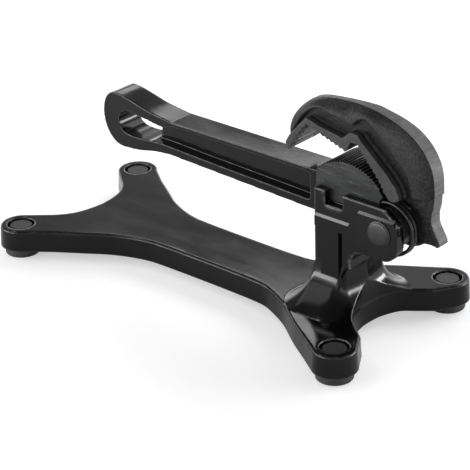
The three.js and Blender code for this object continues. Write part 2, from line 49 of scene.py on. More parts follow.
# Sizes by form: half is half of a width along y, and heights are above what the feet stand on.
PLATE = {"bottom": 6, "top": 23, "leg": 15, "bar": 24.5, "pitch_x": 300, "pitch_y": 125.8, "wall": 6, "roof": 8,
         "edge": 1.8}
RIBS = {"first": -268, "step": 32, "count": 7, "half": 2}
POST = {"left": -50, "half": 21.5, "corner": 1.5, "top": 108.5}
FLARE = {"reach": 22, "height": 34, "right_height": 22}
SHANK = {"right": -24.3, "ridge": -21.8, "corner": 3.5, "top": 47, "scoop_top": 46}
NECK = {"right": -20, "ridge": -19.9, "corner": 1.5, "z": 62, "levels": [58.5, 60, 62]}
ARCH = {"x": -9.5, "z": 60.5, "radius": 10.2, "foot": 56}
FORK = {"half": 15.75, "floor": 60, "right": -17.5, "seat": 84.9}
PAD = {"left": -48.4, "proud": 2, "low": 91, "high": 103, "fall": 1.9}
PIN = {"x": 6, "z": 91, "radius": 7, "head": 9.2, "head_top": 1.7, "groove": 25.8, "groove_end": 27.2,
       "groove_depth": 1, "chamfer_from": 28.4, "end": 29.2, "chamfer": 0.8}
JAW = {"flange": 15, "web": 6.5, "body": 10, "ear": 4, "rim": 5, "ear_radius": 14.5, "bore": 9.9}
HANDLE = {"half": 11, "web": 3.4, "top": 115.2, "bottom": 85.2, "shoulder": -54.5}
TANG = {"top": 103.7, "left": -49.5, "right": -18, "half": 15.4, "shelf": 99}
HEEL = {"x": -26.5, "z": 94, "radius": 35.2, "from": 138.5, "to": 42.5, "teeth": 24, "depth": 1.4, "half": 15.4,
        "left": -53.6, "right": 2.6, "right_top": 113.5, "bottom": 104, "skirt": 99.3, "skirt_top": 104.6,
        "skirt_inner": 11.3}
TENON = {"left": -39, "right": -29, "half": 5, "bottom": 91}
BOLTS = [(-43, 91.3), (-25, 91.3)]
BOLT = {"radius": 4, "end": 7, "chamfer": 0.8, "head": 6, "depth": 6, "head_chamfer": 0.6, "socket": 3.2,
        "socket_depth": 3.5, "seat": 21.5, "washer": 6.9, "washer_depth": 1.4, "washer_room": 0.4}
FOOT = {"radius": 13, "chamfer": 1.2, "boss": 4.6, "boss_top": 10, "hole": 3.3, "hole_floor": 2.5}
PLUG = {"head": 8.3, "top": 22, "seat": 18.3, "stem": 3, "edge": 0.7, "recess": 10.2, "bore": 5}
SPRING = {"radius": 18.8, "wire": 2.4, "pitch": 3.2, "from": 170, "to": 60, "turns": 2, "leg": 22, "near": 13.7,
          "bend": 2, "in_ear": 1.4}
FEET = {"left_front": (-300, -62.9), "left_back": (-300, 62.9), "right_front": (0, -62.9), "right_back": (0, 62.9)}


# Lines

def smooth(points, count):
    """A centripetal curve through the points, as count + 1 evenly spaced points."""
    p = np.array([np.array(q, float) for q in points])
    p = np.vstack([2 * p[0] - p[1], p, 2 * p[-1] - p[-2]])
    fine = []
    for i in range(1, len(p) - 2):
        a, b, c, d = p[i - 1], p[i], p[i + 1], p[i + 2]
        ta = 0.0
        tb = ta + np.linalg.norm(b - a) ** 0.5
        tc = tb + np.linalg.norm(c - b) ** 0.5
        td = tc + np.linalg.norm(d - c) ** 0.5
        for t in np.linspace(tb, tc, 24, endpoint=False):
            ab = a + (b - a) * (t - ta) / (tb - ta)
            bc = b + (c - b) * (t - tb) / (tc - tb)
            cd = c + (d - c) * (t - tc) / (td - tc)
            abc = ab + (bc - ab) * (t - ta) / (tc - ta)
            bcd = bc + (cd - bc) * (t - tb) / (td - tb)
            fine.append(abc + (bcd - abc) * (t - tb) / (tc - tb))
    fine.append(p[-2])
    fine = np.array(fine)
    run = np.concatenate([[0], np.cumsum(np.linalg.norm(np.diff(fine, axis=0), axis=1))])
    at = np.linspace(0, run[-1], count + 1)
    return np.stack([np.interp(at, run, fine[:, k]) for k in range(fine.shape[1])], axis=1).tolist()


def arc(cx, cy, radius, start, end, steps):
    return [[cx + radius * math.cos(math.radians(start + (end - start) * i / steps)),
             cy + radius * math.sin(math.radians(start + (end - start) * i / steps))] for i in range(steps + 1)]


def mirrored(points):
    return [[x, -y] for x, y in reversed(points)]


def grown(points, distance):
    """Each point of a closed anticlockwise outline, moved outwards."""
    p = np.array(points, float)
    d = np.roll(p, -1, axis=0) - np.roll(p, 1, axis=0)
    d /= np.linalg.norm(d, axis=1)[:, None]
    return (p + distance * np.stack([d[:, 1], -d[:, 0]], axis=1)).tolist()


# Solids are pairs of points and faces.

def loft(rings):
    count = len(rings[0])
    points = [p for ring in rings for p in ring]
    faces = [tuple(reversed(range(count)))]
    for r in range(len(rings) - 1):
        for i in range(count):
            j = (i + 1) % count
            faces.append((r * count + i, r * count + j, (r + 1) * count + j, (r + 1) * count + i))
    faces.append(tuple(range((len(rings) - 1) * count, len(rings) * count)))
    return points, faces


def at_z(points, z):
    return [(x, y, z) for x, y in points]


def slab(points, y0, y1):
    """A profile in x and z, drawn anticlockwise, from y0 to y1."""
    return loft([[(x, y1, z) for x, z in points], [(x, y0, z) for x, z in points]])


def slab_pair(points, inner, outer):
    return [slab(points, -outer, -inner), slab(points, inner, outer)]


def box(x0, x1, y0, y1, z0, z1):
    return slab([[x0, z0], [x1, z0], [x1, z1], [x0, z1]], y0, y1)


def turned(profile, x, z, sides=72):
    """A piece turned about a line along y; the profile is [radius, y], from axis to axis or closed on itself."""
    return lathe(profile, sides, lambda r, a, h: (x + r * math.cos(a), h, z - r * math.sin(a)))


def turned_up(profile, x, y, sides=72):
    """The same about a line along z, with the profile as [radius, z]."""
    return lathe(profile, sides, lambda r, a, h: (x + r * math.cos(a), y + r * math.sin(a), h))


def lathe(profile, sides, place):
    closed = profile[0] == profile[-1]
    rows = profile[:-1] if closed else profile
    points, index = [], []
    for r, h in rows:
        if r < 1e-6:
            index.append([len(points)] * sides)
            points.append(place(0, 0, h))
            continue
        index.append([len(points) + i for i in range(sides)])
        points += [place(r, 2 * math.pi * i / sides, h) for i in range(sides)]
    faces = []
    pairs = list(zip(index, index[1:])) + ([(index[-1], index[0])] if closed else [])
    for low, high in pairs:
        for i in range(sides):
            j = (i + 1) % sides
            face = []
            for k in (low[i], low[j], high[j], high[i]):
                if k not in face:
                    face.append(k)
            if len(face) > 2:
                faces.append(tuple(face))
    return points, faces


def rod(x, z, radius, y0, y1, sides=64):
    return turned([[0, y0], [radius, y0], [radius, y1], [0, y1]], x, z, sides)


def tube(points, radius, sides=14):
    """A round bar along the points."""
    across = np.array([0.0, 1.0, 0.0])
    p = np.array(points, float)
    rings = []
    for i in range(len(p)):
        along = p[min(i + 1, len(p) - 1)] - p[max(i - 1, 0)]
        along /= np.linalg.norm(along)
        across = across - along * across.dot(along)
        across /= np.linalg.norm(across)
        third = np.cross(along, across)
        rings.append([tuple(p[i] + radius * (across * math.cos(a) + third * math.sin(a)))
                      for a in np.linspace(0, 2 * math.pi, sides, endpoint=False)])
    return loft(rings)


# Objects

def make(name, *solids):
    """One object from the solids, in the row frame, with its faces pointing out."""
    points, faces = [], []
    for p, f in solids:
        start = len(points)
        points += [((x - MIDDLE_X) * MM, y * MM, z * MM) for x, y, z in p]
        faces += [tuple(start + i for i in face) for face in f]
    mesh = bpy.data.meshes.new(name)
    mesh.from_pydata(points, [], faces)
    work = bmesh.new()
    work.from_mesh(mesh)
    bmesh.ops.recalc_face_normals(work, faces=work.faces)
    work.to_mesh(mesh)
    work.free()
    item = bpy.data.objects.new(name, mesh)
    bpy.context.scene.collection.objects.link(item)
    return item


def applied(item):
    """Replaces the object's mesh by what its modifiers make of it."""
    graph = bpy.context.evaluated_depsgraph_get()
    mesh = bpy.data.meshes.new_from_object(item.evaluated_get(graph))
    item.modifiers.clear()
    old = item.data
    item.data = mesh
    bpy.data.meshes.remove(old)
    return item


def dropped(item):
    mesh = item.data
    bpy.data.objects.remove(item)
    bpy.data.meshes.remove(mesh)


def combined(item, operation, *solids):
    """Joins the solids to the object, or cuts them from it, one after another."""
    for solid in solids:
        other = solid if isinstance(solid, bpy.types.Object) else make("tool", solid)
        step = item.modifiers.new(operation, "BOOLEAN")
        step.operation = operation
        step.object = other
        step.solver = "EXACT"
        applied(item)
        dropped(other)
    return item


def cast(item, voxel, rounds, thin=0.0):
    """Gives the object a casting's soft edges: even faces on its own surface, then smoothed a little."""
    shape = item.copy()
    shape.data = item.data.copy()
    bpy.context.scene.collection.objects.link(shape)
    even = item.modifiers.new("even", "REMESH")
    even.mode = "VOXEL"
    even.voxel_size = voxel * MM
    even.adaptivity = thin
    snap = item.modifiers.new("snap", "SHRINKWRAP")
    snap.target = shape
    snap.wrap_method = "NEAREST_SURFACEPOINT"
    soft = item.modifiers.new("soft", "SMOOTH")
    soft.factor = 0.5
    soft.iterations = rounds
    applied(item)
    dropped(shape)
    item.data.shade_smooth()
    return item


def rounded(item, width, angle):
    """Small rounded edges wherever two faces meet at more than the angle."""
    step = item.modifiers.new("edges", "BEVEL")
    step.width = width * MM
    step.segments = 2
    step.limit_method = "ANGLE"
    step.angle_limit = math.radians(angle)
    return item


def crisp(item, width, flat=False):
    """A machined or moulded piece's edges; its curved faces are smooth unless it is flat."""
    rounded(item, width, 35)
    if not flat:
        item.data.shade_smooth()
        even = item.modifiers.new("normals", "WEIGHTED_NORMAL")
        even.keep_sharp = True
        even.weight = 80
    return item


def piece(item, body, slot, material, *nodes):
    """Puts the object on its body, in its material, standing for the nodes; the slot is not used."""
    item.data.materials.clear()
    item.data.materials.append(material)
    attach(item, body)
    if nodes:
        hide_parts(*nodes)
    return item


# Materials

class Nodes:
    """A material's node tree, built by short calls."""

    def __init__(self, name):
        self.material = bpy.data.materials.new(name)
        self.material.use_nodes = True
        self.tree = self.material.node_tree
        self.shader = self.tree.nodes["Principled BSDF"]
        self.coords = self.tree.nodes.new("ShaderNodeTexCoord").outputs
        self.place = self.coords["Object"]

    def set(self, **values):
        for key, value in values.items():
            self.shader.inputs[key.replace("_", " ")].default_value = value

    def link(self, a, b):
        self.tree.links.new(a, b)

    def noise(self, scale, detail=4, rough=0.55, stretch=None):
        node = self.tree.nodes.new("ShaderNodeTexNoise")
        node.inputs["Scale"].default_value = scale
        node.inputs["Detail"].default_value = detail
        node.inputs["Roughness"].default_value = rough
        source = self.place
        if stretch:
            mapping = self.tree.nodes.new("ShaderNodeMapping")
            mapping.inputs["Scale"].default_value = stretch
            self.link(self.place, mapping.inputs["Vector"])
            source = mapping.outputs["Vector"]
        self.link(source, node.inputs["Vector"])
        return node.outputs["Fac"]

    def tone(self, *args, **kinds):
        """Noise that runs from 0 to 1."""
        return self.spread(self.noise(*args, **kinds), 0.35, 0.65, 0, 1)

    def spread(self, value, low, high, to_low, to_high):
        node = self.tree.nodes.new("ShaderNodeMapRange")
        node.inputs["From Min"].default_value = low
        node.inputs["From Max"].default_value = high
        node.inputs["To Min"].default_value = to_low
        node.inputs["To Max"].default_value = to_high
        self.link(value, node.inputs["Value"])
        return node.outputs["Result"]

    def mix(self, factor, a, b):
        node = self.tree.nodes.new("ShaderNodeMix")
        node.data_type = "RGBA"
        self.link(factor, node.inputs["Factor"])
        for socket, value in ((node.inputs[6], a), (node.inputs[7], b)):
            if isinstance(value, tuple):
                socket.default_value = (*value, 1)
            else:
                self.link(value, socket)
        return node.outputs[2]

    def product(self, a, b):
        node = self.tree.nodes.new("ShaderNodeMath")
        node.operation = "MULTIPLY"
        self.link(a, node.inputs[0])
        if isinstance(b, (int, float)):
            node.inputs[1].default_value = b
        else:
            self.link(b, node.inputs[1])
        return node.outputs[0]

    def larger(self, a, b):
        node = self.tree.nodes.new("ShaderNodeMath")
        node.operation = "MAXIMUM"
        self.link(a, node.inputs[0])
        self.link(b, node.inputs[1])
        return node.outputs[0]

    def across(self, vector):
        """The vector's share along y, without its sign."""
        split = self.tree.nodes.new("ShaderNodeSeparateXYZ")
        self.link(vector, split.inputs["Vector"])
        node = self.tree.nodes.new("ShaderNodeMath")
        node.operation = "ABSOLUTE"
        self.link(split.outputs["Y"], node.inputs[0])
        return node.outputs[0]

    def side(self):
        """Distance from the middle plane of the jaws, in metres."""
        return self.across(self.place)

    def facing_side(self):
        """1 where the surface faces straight to a side, 0 where it faces along the jaws' plane."""
        return self.across(self.coords["Normal"])

    def sharp_edges(self, low, high):
        """1 on sharp outer edges, 0 elsewhere."""
        node = self.tree.nodes.new("ShaderNodeNewGeometry")
        return self.spread(node.outputs["Pointiness"], low, high, 0, 1)

    def bump(self, *heights):
        """Each height is a value and a depth in millimetres."""
        normal = None
        for value, depth in heights:
            node = self.tree.nodes.new("ShaderNodeBump")
            node.inputs["Distance"].default_value = depth * MM
            node.inputs["Strength"].default_value = 1
            self.link(value, node.inputs["Height"])
            if normal:
                self.link(normal, node.inputs["Normal"])
            normal = node.outputs["Normal"]
        self.link(normal, self.shader.inputs["Normal"])

    def base(self, colour):
        self.link(colour, self.shader.inputs["Base Color"])

    def rough(self, value):
        self.link(value, self.shader.inputs["Roughness"])


def enamel(name, edges=True):
    """Glossy black enamel over a sand casting, chipped along its edges and lighter on them where those are wanted,
    the lightening part wear and part a painted highlight.
    """
    n = Nodes(name)
    n.set(Metallic=0.0, IOR=1.32)
    tone = n.tone(60, 3)
    body = n.mix(tone, (0.001, 0.001, 0.0011), (0.0026, 0.0026, 0.0027))
    if edges:
        # Lighter along sharp edges: part wear through the enamel, part a painted highlight.
        rubbed_and_glinting = n.product(n.sharp_edges(0.52, 0.58), n.spread(n.noise(260, 4), 0.35, 0.65, 0.2, 0.9))
        body = n.mix(rubbed_and_glinting, body, (0.2, 0.2, 0.202))
        chipped = n.product(n.sharp_edges(0.6, 0.7), n.spread(n.noise(900, 5), 0.56, 0.62, 0, 1))
        body = n.mix(chipped, body, (0.16, 0.157, 0.154))
    n.base(body)
    smear = n.noise(45, 4, stretch=(0.35, 1, 1))
    n.rough(n.spread(smear, 0.3, 0.7, 0.08, 0.2))
    n.bump((n.noise(150, 3), 0.025), (n.noise(900, 4), 0.003))
    return n.material


def blackened():
    """Satin blackened casting with a sandy grain, lighter on its flanges, which stand further out than the body,
    and with a painted highlight, streaked like brushing, round its rim, which faces along the jaws' plane."""
    n = Nodes("jaw_black")
    n.set(Metallic=0.0, IOR=1.3)
    tone = n.tone(90, 5)
    body = n.mix(tone, (0.003, 0.003, 0.0031), (0.0065, 0.0065, 0.0067))
    # Lighter along sharp edges: part wear, part a painted highlight.
    rubbed_and_glinting = n.product(n.sharp_edges(0.53, 0.62), n.spread(n.noise(500, 4), 0.4, 0.7, 0.1, 0.7))
    flange = n.spread(n.side(), 0.0108, 0.0118, 0, 1)
    body = n.mix(flange, body, n.mix(tone, (0.03, 0.03, 0.0305), (0.046, 0.046, 0.047)))
    grain = n.spread(n.noise(620, 2, 0.7), 0.46, 0.62, 0, 1)
    body = n.mix(n.product(grain, 0.75), body, (0.024, 0.024, 0.0245))
    # Painted highlight: faces near the middle that look along the jaws' plane, the rim, get a much lighter colour,
    # with streaks like brushing.
    brushed_rim_highlight = n.mix(n.tone(500, 4, stretch=(1, 0.2, 1)), (0.06, 0.06, 0.0605), (0.095, 0.095, 0.096))
    rim = n.product(n.spread(n.facing_side(), 0.3, 0.42, 1, 0), n.spread(n.side(), 0.0088, 0.0098, 1, 0))
    body = n.mix(rim, body, brushed_rim_highlight)
    n.base(n.mix(rubbed_and_glinting, body, (0.07, 0.07, 0.071)))
    n.rough(n.spread(n.noise(260, 5), 0.3, 0.7, 0.42, 0.58))
    n.bump((n.noise(620, 2, 0.7), 0.22), (n.noise(1500, 3), 0.05))
    return n.material


def jaw_steel():
    """Dark milled steel with fine scratches along its sides; painted shade darkens every face that does not face a
    side, between the teeth too, and a painted highlight brightens the tooth tips.
    """
    n = Nodes("jaw_steel")
    n.set(Metallic=0.2, IOR=1.3)
    tone = n.tone(40, 5, stretch=(1, 1, 3))
    body = n.mix(tone, (0.014, 0.0143, 0.015), (0.03, 0.0305, 0.0315))
    scratched = n.spread(n.noise(420, 4, 0.6, (0.12, 1, 1)), 0.56, 0.66, 0, 0.6)
    body = n.mix(scratched, body, (0.1, 0.1, 0.103))
    # Painted shade: faces that do not face a side, the tooth flanks among them, are made darker.
    shaded_faces = n.spread(n.facing_side(), 0.5, 0.7, 1, 0)
    body = n.mix(shaded_faces, body, (0.006, 0.006, 0.0062))
    # Painted highlight on the teeth's sharp tips.
    tip_highlight = n.product(n.sharp_edges(0.56, 0.66), shaded_faces)
    n.base(n.mix(tip_highlight, body, (0.3, 0.3, 0.31)))
    n.rough(n.spread(n.noise(600, 4, stretch=(0.2, 1, 1)), 0.3, 0.7, 0.36, 0.52))
    n.bump((n.noise(700, 4, stretch=(0.15, 1, 1)), 0.012), (n.noise(1900, 3), 0.006))
    return n.material


def metal(name, low, high, rough, metallic=0.9, grain=1200, depth=0.006):
    """Plain machined or oxided steel, or bronze, with fine grain."""
    n = Nodes(name)
    n.set(Metallic=metallic)
    n.base(n.mix(n.tone(160, 4), low, high))
    n.rough(n.spread(n.noise(grain, 3), 0.3, 0.7, rough - 0.07, rough + 0.07))
    n.bump((n.noise(grain, 3), depth))
    return n.material


def rubber():
    n = Nodes("rubber")
    n.set(Metallic=0.0)
    n.base(n.mix(n.tone(150, 4), (0.012, 0.012, 0.0125), (0.02, 0.02, 0.021)))
    n.rough(n.spread(n.noise(500, 4), 0.3, 0.7, 0.62, 0.8))
    n.bump((n.noise(1400, 4), 0.02))
    return n.material


ENAMEL = enamel("black_enamel")
PAD_ENAMEL = enamel("black_enamel_pads", False)
JAW_BLACK = blackened()
JAW_STEEL = jaw_steel()
DARK_STEEL = metal("dark_steel", (0.003, 0.003, 0.0031), (0.007, 0.007, 0.0072), 0.42, 0.1)
# Painted shade: this steel is coloured far darker than bright steel, for sleeves, washers and pins that sit in shade.
SHADE_DARKENED_STEEL = metal("bright_steel", (0.06, 0.06, 0.062), (0.1, 0.1, 0.102), 0.46)
WIRE = metal("spring_wire", (0.008, 0.008, 0.0083), (0.014, 0.014, 0.0144), 0.34, 0.2)
BRONZE = metal("bronze", (0.3, 0.18, 0.08), (0.4, 0.25, 0.11), 0.36)
PLUG_STEEL = metal("plug_steel", (0.014, 0.014, 0.0145), (0.024, 0.024, 0.025), 0.56, 0.0, 900, depth=0.02)
RUBBER = rubber()


# Base casting

def right_end():
    """Half of the hollow between the two right-hand legs, from the front leg to the middle."""
    return smooth([[4, -41], [-5, -34], [-13.4, -27.3], [-18, -18], [-20.4, -9], [-21, 0]], 30)


def plate_outline():
    y = -PLATE["pitch_y"] / 2
    left_end = smooth([[-277, 0], [-278, -10], [-282, -24], [-290, -35], [-300, -43.5]], 24)
    shaded_faces = smooth([[-270.5, -59], [-250, -46], [-234, -36], [-216, -28.5], [-203, -25.4], [-190, -PLATE["bar"]],
                    [-104, -PLATE["bar"]], [-91, -26], [-79.5, -30.5], [-63.6, -38.6], [-41, -54.5],
                    [-22.7, -66]], 110)
    front = [*left_end, *arc(-PLATE["pitch_x"], y, PLATE["leg"], 127, 324, 36), *shaded_faces,
             *arc(0, y, PLATE["leg"], 240, 400, 32), *right_end()]
    return front + mirrored(front)[1:-1]


def plate():
    """The plate's outline at rising heights, drawn in at the bottom and drafted up to a rounded top edge."""
    outline = plate_outline()
    edge, start = PLATE["edge"], PLATE["top"] - PLATE["edge"]
    side = [(PLATE["bottom"], -0.6), (6.2, 0.1), (6.7, 0.8), (7.3, 1.2), (14, 0.8)]
    top = [(start + edge * math.sin(a), 0.4 - edge * (1 - math.cos(a))) for a in np.linspace(0, math.pi / 2, 7)]
    return loft([at_z(grown(outline, out), z) for z, out in side + top])


def fall_at(z, height):
    """1 on the plate, 0 from the height above it."""
    return min(max(1 - (z - PLATE["top"]) / height, 0), 1)


def flare_at(z):
    """How far the post's foot stands out to the sides and the left."""
    fall = fall_at(z, FLARE["height"])
    return FLARE["reach"] * (0.2 * fall + 0.8 * fall ** 2.6)


def right_flare_at(z):
    """The same to the right, on a quarter ellipse."""
    fall = fall_at(z, FLARE["right_height"])
    return FLARE["reach"] * (1 - math.sqrt(1 - fall * fall))


def post_plan(z):
    """Plan of the post at a height: small left corners, round right ones and a low ridge between those."""
    share = min(max((z - SHANK["top"]) / (NECK["z"] - SHANK["top"]), 0), 1)
    share = share * share * (3 - 2 * share)
    corner, right, ridge = [SHANK[k] + (NECK[k] - SHANK[k]) * share for k in ("corner", "right", "ridge")]
    out, out_right = flare_at(z), right_flare_at(z)
    radius, left = corner + out, POST["left"] + POST["corner"]
    right, ridge = right + out_right - radius, ridge + out_right
    left_side, right_side = POST["half"] - POST["corner"], POST["half"] + out - radius
    return [*arc(left, left_side, POST["corner"] + out, 90, 180, 12),
            *arc(left, -left_side, POST["corner"] + out, 180, 270, 12),
            *arc(right, -right_side, radius, 270, 360, 16), [ridge, 0], *arc(right, right_side, radius, 0, 90, 16)]


def flared_post():
    low = PLATE["top"] - SINK
    levels = [low + FLARE["height"] * (1 - math.sin(a)) for a in np.linspace(math.pi / 2, 0, 34)]
    return loft([at_z(post_plan(z), z) for z in [*levels, *NECK["levels"]]])


def lobe(out=0):
    return [*arc(8.6, 84.4, 12 + out, 270, 360, 16), [20.6 + out, 93], [19.4 + out, 98.5]]


def head_profile():
    return [[POST["left"], ARCH["foot"]], [ARCH["x"] - ARCH["radius"], ARCH["foot"]],
            *arc(ARCH["x"], ARCH["z"], ARCH["radius"], 180, 90, 12), *lobe(), [17.4, 102], [12.8, 105],
            [9, POST["top"]], [-26, POST["top"]], [-26, 98.5], [-41, 98.5], [-41, POST["top"]],
            [POST["left"], POST["top"]]]


def pad_profile(fall):
    """The pad's outline; its ledges lie lower by the fall."""
    low, high = PAD["low"] - fall, PAD["high"] - fall
    return [[PAD["left"], low], [PAD["left"], 82], [-43, 82], [-43, 35], [-28, 35], [-28, 82], [-18, 82],
            [-12, 72.5], *lobe(0.04), [17.2, high], [-12, high], [-20, low]]


def pads():
    """The pads on both cheeks; their ledges slope outwards a little."""
    inner, outer = POST["half"] - 1, POST["half"] + PAD["proud"]
    rings = [[(x, y, z) for x, z in pad_profile(fall)] for y, fall in ((inner, 0), (outer, PAD["fall"]))]
    item = make("post_pads", loft(rings))
    combined(item, "UNION", loft([[(x, -y, z) for x, y, z in ring] for ring in reversed(rings)]))
    return combined(item, "DIFFERENCE", *post_holes())


def post_holes():
    """The pin's hole, and the bolts' holes with room for their washers on the far side."""
    hole, spot, seat = BOLT["radius"] + GAP, BOLT["washer"] + BOLT["washer_room"], BOLT["seat"] + 0.05
    room = [[0, 10], [hole, 10], [hole, seat], [spot, seat], [spot, THROUGH], [0, THROUGH]]
    return [rod(PIN["x"], PIN["z"], PIN["radius"] + GAP, -THROUGH, THROUGH), *[turned(room, x, z) for x, z in BOLTS]]


def underside():
    """The hollow under the plate, less its ribs, bosses and the solid end under the post."""
    inner = grown(plate_outline(), -PLATE["wall"])
    hollow = make("hollow", loft([at_z(inner, PLATE["bottom"] - 1), at_z(inner, PLATE["top"] - PLATE["roof"])]))
    half, side, tall = RIBS["half"], PLATE["pitch_y"] / 2, 20
    ribs = [RIBS["first"] + i * RIBS["step"] for i in range(RIBS["count"])]
    boss = [[0, 0], [PLATE["leg"], 0], [PLATE["leg"], tall], [0, tall]]
    return combined(hollow, "DIFFERENCE", *[turned_up(boss, x, y) for x, y in FEET.values()],
                    *[box(x - half, x + half, -side, side, 0, tall) for x in ribs],
                    box(-310, POST["left"] + 1, -half, half, 0, tall),
                    box(POST["left"], PLATE["leg"], -side, side, 0, tall))


def base_casting():
    half, above, left = POST["half"], PLATE["top"] + 1, POST["left"] - 30
    front = [[40, -60], [11, -50], *right_end()]
    scoop = front + mirrored(front)[1:]
    item = make("base_casting_body", flared_post())
    combined(item, "UNION", slab(head_profile(), -half, half))
    fork = [[FORK["right"], FORK["floor"]], [60, FORK["floor"]], [60, 130], [left, 130], [left, FORK["seat"]],
            [FORK["right"], FORK["seat"]]]
    combined(item, "DIFFERENCE", loft([at_z(scoop, -1), at_z(scoop, SHANK["scoop_top"])]),
             slab(fork, -FORK["half"], FORK["half"]), *post_holes())
    combined(item, "UNION", plate())
    bore = [[0, 0], [PLUG["bore"], 0], [PLUG["bore"], PLUG["seat"] - GAP], [PLUG["recess"], PLUG["seat"] - GAP],
            [PLUG["recess"], above], [0, above]]
    combined(item, "DIFFERENCE", underside(), *[turned_up(bore, x, y) for x, y in FEET.values()])
    return cast(item, voxel=0.7, rounds=2, thin=0.004)


# Handle

def handle_body():
    eye = smooth([[-190, HANDLE["top"]], [-213.8, 118.5], [-229.5, 122.3], [-240.7, 124.5], [-247.5, 124.6],
                  [-252.9, 121.3], [-256.3, 115], [-257.4, 107.5], [-256.4, 99.1], [-252.9, 91.8], [-247.3, 86.2],
                  [-242.3, 84.2], [-232.3, 84.2], [-222.3, 85.2], [-207.3, 88.2], [-192.3, 89.7]], 90)
    outline = [*eye, [-58, HANDLE["bottom"]], [TANG["right"], HANDLE["bottom"]], [TANG["right"], TANG["top"]],
               [HANDLE["shoulder"], TANG["top"]], [HANDLE["shoulder"], HANDLE["top"]]]
    slot = smooth([[-206, 103.3], [-206.7, 99], [-210, 95.9], [-219, 94.9], [-232.3, 94.7], [-239.3, 97.2],
                   [-242.3, 104.2], [-240, 110], [-234.3, 113.2], [-222, 111.9], [-210.5, 110.6], [-207, 108.2],
                   [-206, 103.3]], 70)[:-1]
    panel = [[-210, 95.9], [-197.7, 96.2], [-163.6, 94.8], [-65, 91.6], *arc(-65, 94.4, 2.8, 290, 360, 6),
             *arc(-65, 109.4, 2.8, 0, 90, 8), [-188, 112.2], [-199.2, 109.2], [-210, 110.5]]
    item = make("handle_body", slab(outline, -HANDLE["half"], HANDLE["half"]))
    combined(item, "UNION", box(TANG["left"], TANG["right"], -TANG["half"], TANG["half"], HANDLE["bottom"],
                                TANG["shelf"]))
    combined(item, "DIFFERENCE", *slab_pair(panel, HANDLE["web"], HANDLE["half"] + 1), slab(slot, -20, 20))
    return cast(item, voxel=0.6, rounds=3)


# Hook jaw

def toothed(points, count, depth):
    """A line of teeth along the points, each with a long and a short side."""
    fine = 50
    path = np.array(smooth(points, count * fine))
    teeth = []
    for i in range(count):
        start = path[i * fine]
        k = int((i + 0.72) * fine)
        along = path[min(k + 1, len(path) - 1)] - path[k - 1]
        along /= np.linalg.norm(along)
        tip = path[k]
        teeth += [[start[0], start[1]], [tip[0] - along[1] * depth, tip[1] + along[0] * depth]]
    return teeth + [path[-1].tolist()]


def hook_flange():
    tip = toothed([[-77.8, 126], [-71, 137], [-62.5, 148.5]], 6, -1.3)
    top = toothed([[-53.5, 146.3], [-41, 142.4], [-28, 138]], 7, -1.3)
    long = toothed([[-18.3, 145], [-12, 137.6], [-7, 132], [-2.5, 126.6], [1.2, 121.6], [4, 116.2]], 10, -1.2)
    upper = [[15, 117], [12, 123], [5, 130.5], [-5, 139], [-14, 146.5], [-19, 152], [-25, 152],
             [-31, 146.5], [-40, 148.2], [-50, 149.8], [-61.7, 153.2], [-70, 144.5], [-76.6, 137], [-80, 131]]
    return slab([*tip, *top, [-24.3, 145], *long, [6.6, 112.6], [11, 112], [15, 114], *upper],
                -JAW["flange"], JAW["flange"])


def hook_web():
    return slab([[-77, 134], [-66, 147], [-60, 151], [-50, 148.5], [-40, 146.5], [-31, 144.5], [-24, 150],
                 [-19, 149.5], [-12, 141.5], [-3, 133], [5, 126.5], [9, 120], [11, 113], [14, 112.5], [26, 117],
                 [33, 119], [33, 126], [28, 139], [18, 150], [5, 157], [-15, 162], [-35, 163], [-50, 162],
                 [-62, 158], [-70, 152], [-77, 142]], -JAW["web"], JAW["web"])


def hook_section(row):
    """From the body's inner corner to its crest, narrowing to the crest's half width, and back."""
    x0, z0, x1, z1, crest = row
    side = [(x0 + (x1 - x0) * share, JAW["body"] - (JAW["body"] - crest) * share ** 2.6, z0 + (z1 - z0) * share)
            for share in np.linspace(0, 1, 9)]
    return side + [(x, -y, z) for x, y, z in reversed(side)]


def hook_body():
    inner = [[-78.3, 134], [-77, 139], [-73.9, 144], [-69.9, 150], [-63.9, 156], [-57.9, 159.5], [-51.9, 160],
             [-45.6, 158], [-36.7, 156.3], [-27.9, 154], [-24.9, 157], [-20.9, 160], [-16.9, 161], [-13.3, 159.7],
             [-4.5, 152], [2, 145.8], [6.7, 141.3], [11.5, 137.2], [15.5, 133.6], [19.4, 125.8], [22, 115.5]]
    crest = [[-80.5, 133.5, 8], [-81.6, 138.2, 7.5], [-80.6, 145.2, 6], [-76.6, 152, 5], [-71, 158, 4],
             [-64.8, 162.6, 3], [-58.2, 165, 2.8], [-48.5, 166.6, 2.5], [-40, 167.4, 2.5], [-33.5, 167.8, 2.7],
             [-27, 168, 2.9], [-22, 168, 3.2], [-16.5, 167.7, 3.5], [-11, 166.9, 3.9], [-2.5, 165, 4.6],
             [7.6, 162, 5.2], [17.8, 157.2, 5.6], [27.4, 149.2, 5.7], [33.6, 139.6, 5.7], [36, 131, 5.6],
             [36.8, 118.5, 5.4]]
    rows = smooth([[*a, *b] for a, b in zip(inner, crest)], 120)
    return loft([hook_section(row) for row in rows])


